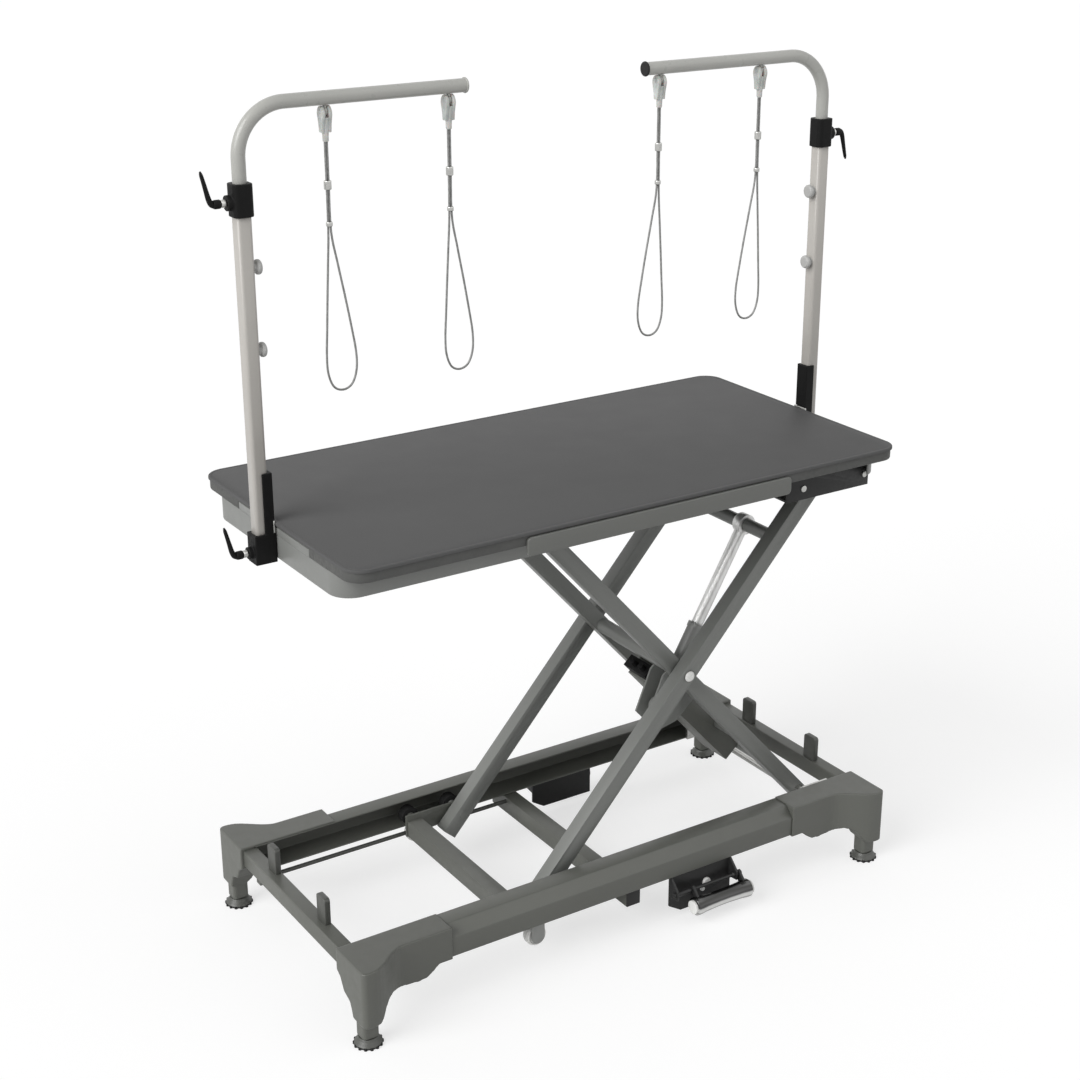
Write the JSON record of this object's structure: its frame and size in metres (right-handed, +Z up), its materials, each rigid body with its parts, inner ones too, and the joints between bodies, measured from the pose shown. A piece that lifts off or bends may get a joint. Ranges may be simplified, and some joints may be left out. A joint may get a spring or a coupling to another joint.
{
  "type": "electric grooming table",
  "caption": "Electric pet grooming table with a rubber-matted top on a scissor lift, a levelling base with foot pedals, and two overhead arms with nooses.",
  "frame": {"origin": "on the floor under the centre of the table", "axes": "+X along the table's length, +Y towards its rear, +Z up"},
  "size_m": [1.27, 0.574, 1.5155],
  "materials": {
    "frame": "satin powder coat",
    "frame_light": "satin powder coat",
    "board": "painted edge",
    "mat": "fine matt grain",
    "black_plastic": "matt",
    "steel": "brushed",
    "chrome": "bright",
    "white_plastic": "smooth",
    "cable": "coated cable"
  },
  "bodies": {
    "base": {"front_rail": "frame", "rear_rail": "frame", "corner_shoes": "frame", "end_tubes": "frame", "table_stops": "frame", "cross_member": "frame", "guide_rod": "steel", "pedal_brackets": "black_plastic", "castor_brackets": "black_plastic", "lower_shaft": "steel"},
    "castors": {"castor_wheels": "white_plastic"},
    "foot_front_left": {"front_left_foot": "black_plastic"},
    "foot_front_right": {"front_right_foot": "black_plastic"},
    "foot_rear_left": {"rear_left_foot": "black_plastic"},
    "foot_rear_right": {"rear_right_foot": "black_plastic"},
    "pedal_front": {"front_pedal": "chrome"},
    "pedal_rear": {"rear_pedal": "chrome"},
    "inner_arms": {"inner_frame": "frame", "centre_shaft": "steel", "drive_housing": "frame", "drive_end_cap": "black_plastic", "pivot_caps": "white_plastic"},
    "rollers_upper": {"upper_rollers": "black_plastic"},
    "outer_arms": {"outer_frame": "frame"},
    "rollers_lower": {"lower_rollers": "black_plastic"},
    "slide_carriage": {"carriage": "frame", "guide_bush": "white_plastic"},
    "rollers_carriage": {"carriage_rollers": "black_plastic"},
    "strut_lower": {"strut_tube": "frame_light"},
    "strut_upper": {"strut_rod": "chrome"},
    "table_top": {"mat": "mat", "board": "board", "side_panels": "frame_light", "aprons": "frame_light", "top_frame": "frame", "top_bolts": "steel", "edge_strips": "frame_light", "clamp_plates": "steel", "left_clamp": "black_plastic", "right_clamp": "black_plastic"},
    "lever_left_clamp": {"left_clamp_lever": "black_plastic"},
    "lever_right_clamp": {"right_clamp_lever": "black_plastic"},
    "post_left": {"left_post": "steel", "left_collar": "black_plastic"},
    "post_right": {"right_post": "steel", "right_collar": "black_plastic"},
    "lever_left_collar": {"left_collar_lever": "black_plastic"},
    "lever_right_collar": {"right_collar_lever": "black_plastic"},
    "arm_left": {"left_arm_tube": "frame_light", "left_arm_cap": "black_plastic"},
    "arm_right": {"right_arm_tube": "frame_light", "right_arm_cap": "black_plastic"},
    "hanger_1": {"noose_1": "cable", "noose_1_fittings": "white_plastic"},
    "hanger_2": {"noose_2": "cable", "noose_2_fittings": "white_plastic"},
    "hanger_3": {"noose_3": "cable", "noose_3_fittings": "white_plastic"},
    "hanger_4": {"noose_4": "cable", "noose_4_fittings": "white_plastic"}
  },
  "joints": [
    {"name": "foot_front_left_turn", "type": "hinge", "parent": "base", "child": "foot_front_left", "pos_m": [-0.545, -0.257, 0.02], "axis": [0, 0, 1], "continuous": true},
    {"name": "foot_front_right_turn", "type": "hinge", "parent": "base", "child": "foot_front_right", "pos_m": [0.545, -0.257, 0.02], "axis": [0, 0, 1], "continuous": true},
    {"name": "foot_rear_left_turn", "type": "hinge", "parent": "base", "child": "foot_rear_left", "pos_m": [-0.545, 0.257, 0.02], "axis": [0, 0, 1], "continuous": true},
    {"name": "foot_rear_right_turn", "type": "hinge", "parent": "base", "child": "foot_rear_right", "pos_m": [0.545, 0.257, 0.02], "axis": [0, 0, 1], "continuous": true},
    {"name": "castor_spin", "type": "hinge", "parent": "base", "child": "castors", "pos_m": [-0.19, 0.215, 0.062], "axis": [0, 1, 0], "continuous": true},
    {"name": "pedal_front_tilt", "type": "hinge", "parent": "base", "child": "pedal_front", "pos_m": [0.1845, -0.251, 0.062], "axis": [1, 0, 0], "range_deg": [-8, 12], "stiffness_Nm_per_rad": 10, "springref_deg": -1.15},
    {"name": "pedal_rear_tilt", "type": "hinge", "parent": "base", "child": "pedal_rear", "pos_m": [0.1845, 0.251, 0.062], "axis": [1, 0, 0], "range_deg": [-12, 8], "stiffness_Nm_per_rad": 10, "springref_deg": 1.15},
    {"name": "lift", "type": "hinge", "parent": "base", "child": "inner_arms", "pos_m": [0.475, 0, 0.1143], "axis": [0, -1, 0], "range_deg": [0, 42.2]},
    {"name": "cross", "type": "hinge", "parent": "inner_arms", "child": "outer_arms", "pos_m": [0.17548, 0, 0.44812], "axis": [0, 1, 0], "range_deg": [0, 84.6]},
    {"name": "top_level", "type": "hinge", "parent": "outer_arms", "child": "table_top", "pos_m": [0.475, 0, 0.78195], "axis": [0, -1, 0], "range_deg": [0, 42.4]},
    {"name": "carriage_level", "type": "hinge", "parent": "outer_arms", "child": "slide_carriage", "pos_m": [-0.12405, 0, 0.1143], "axis": [0, -1, 0], "range_deg": [0, 42.4]},
    {"name": "strut_swing", "type": "hinge", "parent": "outer_arms", "child": "strut_upper", "pos_m": [0.37382, -0.062, 0.66918], "axis": [0, -1, 0], "range_deg": [-1, 12]},
    {"name": "strut_extension", "type": "slide", "parent": "strut_upper", "child": "strut_lower", "axis": [0.4993, 0, 0.8664], "range_m": [0, 0.134]},
    {"name": "upper_roller_spin", "type": "hinge", "parent": "inner_arms", "child": "rollers_upper", "pos_m": [-0.12405, 0, 0.78195], "axis": [0, 1, 0], "continuous": true},
    {"name": "lower_roller_spin", "type": "hinge", "parent": "outer_arms", "child": "rollers_lower", "pos_m": [-0.12405, 0, 0.1143], "axis": [0, 1, 0], "continuous": true},
    {"name": "carriage_roller_spin", "type": "hinge", "parent": "slide_carriage", "child": "rollers_carriage", "pos_m": [-0.21405, 0, 0.1143], "axis": [0, 1, 0], "continuous": true},
    {"name": "post_left_height", "type": "slide", "parent": "table_top", "child": "post_left", "axis": [0, 0, 1], "range_m": [0, 0.03]},
    {"name": "arm_left_height", "type": "slide", "parent": "post_left", "child": "arm_left", "axis": [0, 0, 1], "range_m": [-0.03, 0.11]},
    {"name": "clamp_lever_left_turn", "type": "hinge", "parent": "table_top", "child": "lever_left_clamp", "pos_m": [-0.594, 0, 0.79905], "axis": [1, 0, 0], "range_deg": [-150, 150]},
    {"name": "collar_lever_left_turn", "type": "hinge", "parent": "post_left", "child": "lever_left_collar", "pos_m": [-0.5935, 0, 1.361], "axis": [1, 0, 0], "range_deg": [-150, 150]},
    {"name": "post_right_height", "type": "slide", "parent": "table_top", "child": "post_right", "axis": [0, 0, 1], "range_m": [0, 0.03]},
    {"name": "arm_right_height", "type": "slide", "parent": "post_right", "child": "arm_right", "axis": [0, 0, 1], "range_m": [-0.03, 0.11]},
    {"name": "clamp_lever_right_turn", "type": "hinge", "parent": "table_top", "child": "lever_right_clamp", "pos_m": [0.594, 0, 0.79905], "axis": [1, 0, 0], "range_deg": [-150, 150]},
    {"name": "collar_lever_right_turn", "type": "hinge", "parent": "post_right", "child": "lever_right_collar", "pos_m": [0.5935, 0, 1.361], "axis": [1, 0, 0], "range_deg": [-150, 150]},
    {"name": "noose_1_swing", "type": "hinge", "parent": "arm_left", "child": "hanger_1", "pos_m": [-0.423, 0, 1.483], "axis": [1, 0, 0], "range_deg": [-70, 70]},
    {"name": "noose_2_swing", "type": "hinge", "parent": "arm_left", "child": "hanger_2", "pos_m": [-0.206, 0, 1.483], "axis": [1, 0, 0], "range_deg": [-70, 70]},
    {"name": "noose_3_swing", "type": "hinge", "parent": "arm_right", "child": "hanger_3", "pos_m": [0.206, 0, 1.483], "axis": [1, 0, 0], "range_deg": [-70, 70]},
    {"name": "noose_4_swing", "type": "hinge", "parent": "arm_right", "child": "hanger_4", "pos_m": [0.423, 0, 1.483], "axis": [1, 0, 0], "range_deg": [-70, 70]}
  ],
  "couplings": [
    {"joint": "cross", "follows": "lift", "ratio": 2},
    {"joint": "top_level", "follows": "lift", "ratio": 1},
    {"joint": "carriage_level", "follows": "lift", "ratio": 1},
    {"joint": "strut_swing", "follows": "lift", "ratio": 0.245},
    {"joint": "strut_extension", "follows": "lift", "m_per_rad": 0.179}
  ]
}
